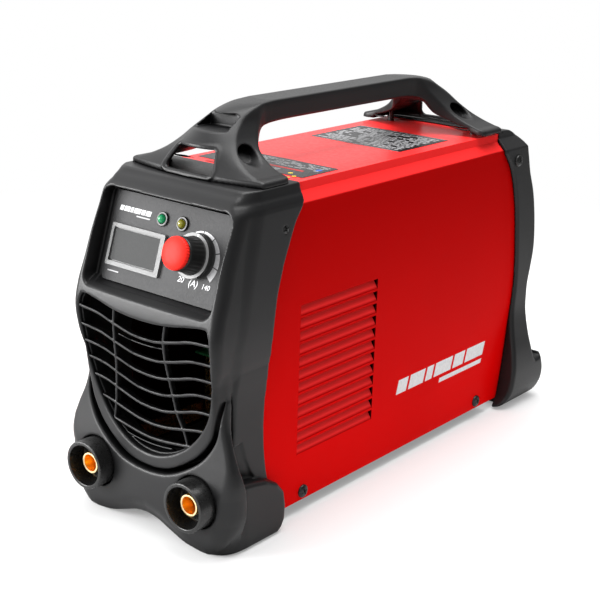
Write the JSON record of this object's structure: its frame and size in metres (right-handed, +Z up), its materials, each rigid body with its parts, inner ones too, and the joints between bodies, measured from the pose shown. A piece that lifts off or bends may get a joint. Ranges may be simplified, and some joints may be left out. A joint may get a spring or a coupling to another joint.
{
  "type": "stick welding inverter",
  "caption": "Portable stick welding inverter: louvred steel cover between moulded bezels, arched carry handle, current knob, output sockets, fan and mains lead.",
  "frame": {"origin": "on the floor plane, on the mid-plane between the two sides, half way between the front rims of the output sockets and the rear of the mains plug", "axes": "+X to the right of a person facing the control panel, +Y from the front to the rear, +Z up"},
  "size_m": [0.1584, 0.45, 0.283],
  "materials": {
    "cover_paint": "smooth glossy red powder coat",
    "pan_steel": "black paint",
    "panel_paint": "fine textured black powder coat",
    "bezel_plastic": "satin moulded, fine texture",
    "panel_plastic": "fine textured overlay",
    "meter_plastic": "satin",
    "meter_window": "tinted window",
    "circuit_board": "solder mask",
    "lamp_green": "translucent lens",
    "lamp_yellow": "translucent lens",
    "zinc_steel": "zinc plated",
    "knob_plastic": "satin",
    "cap_red": "satin red",
    "brass_plain": "turned",
    "socket_brass": "turned, bright",
    "copper": "enamelled copper",
    "sink_aluminium": "extruded",
    "component_black": "moulded",
    "ferrite": "sintered",
    "guard_chrome": "bright wire",
    "screw_black": "black oxide",
    "label_film": "printed film",
    "rocker_red": "glossy",
    "gland_plastic": "moulded nylon",
    "cord_rubber": "matt sheath"
  },
  "bodies": {
    "case": {"cover_shell": "cover_paint", "base_pan": "pan_steel", "front_bezel": "bezel_plastic", "front_grille": "bezel_plastic", "rear_bezel": "bezel_plastic", "rear_panel": "panel_paint", "handle": "bezel_plastic", "handle_screws": "screw_black", "case_screws": "screw_black", "top_labels": "label_film", "control_panel": "panel_plastic", "meter_frame": "meter_plastic", "meter_lens": "meter_window", "meter_board": "circuit_board", "led_holders": "bezel_plastic", "power_led": "lamp_green", "fault_led": "lamp_yellow", "potentiometer": "zinc_steel", "pot_nut": "zinc_steel", "control_board": "circuit_board", "control_posts": "brass_plain", "socket_sleeves": "bezel_plastic", "socket_inserts": "socket_brass", "socket_nuts": "socket_brass", "output_busbars": "copper", "power_board": "circuit_board", "board_posts": "brass_plain", "board_screws": "zinc_steel", "inverter_heatsink": "sink_aluminium", "rectifier_heatsink": "sink_aluminium", "power_transistors": "component_black", "output_diodes": "component_black", "bulk_capacitors": "component_black", "soft_start_relay": "component_black", "bridge_rectifier": "component_black", "filter_choke": "copper", "transformer_core": "ferrite", "transformer_winding": "copper", "output_choke": "copper", "choke_base": "component_black", "fan_frame": "component_black", "fan_guard": "guard_chrome", "fan_screws": "zinc_steel", "switch_housing": "component_black", "gland_body": "gland_plastic", "gland_nut": "gland_plastic", "mains_cord": "cord_rubber", "cord_tie": "gland_plastic", "mains_plug": "cord_rubber", "plug_pins": "zinc_steel"},
    "knob": {"pot_shaft": "zinc_steel", "knob_body": "knob_plastic", "knob_cap": "cap_red"},
    "fan": {"fan_rotor": "component_black"},
    "rocker": {"switch_rocker": "rocker_red"}
  },
  "joints": [
    {"name": "knob_turn", "type": "hinge", "parent": "case", "child": "knob", "pos_m": [0.0273, -0.19086, 0.19473], "axis": [0, -0.9537, 0.3007], "range_deg": [-140, 160]},
    {"name": "fan_spin", "type": "hinge", "parent": "case", "child": "fan", "pos_m": [0, 0.121, 0.16], "axis": [0, 1, 0], "continuous": true},
    {"name": "rocker_tilt", "type": "hinge", "parent": "case", "child": "rocker", "pos_m": [0.038, 0.13, 0.09], "axis": [1, 0, 0], "range_deg": [0, 22]}
  ]
}
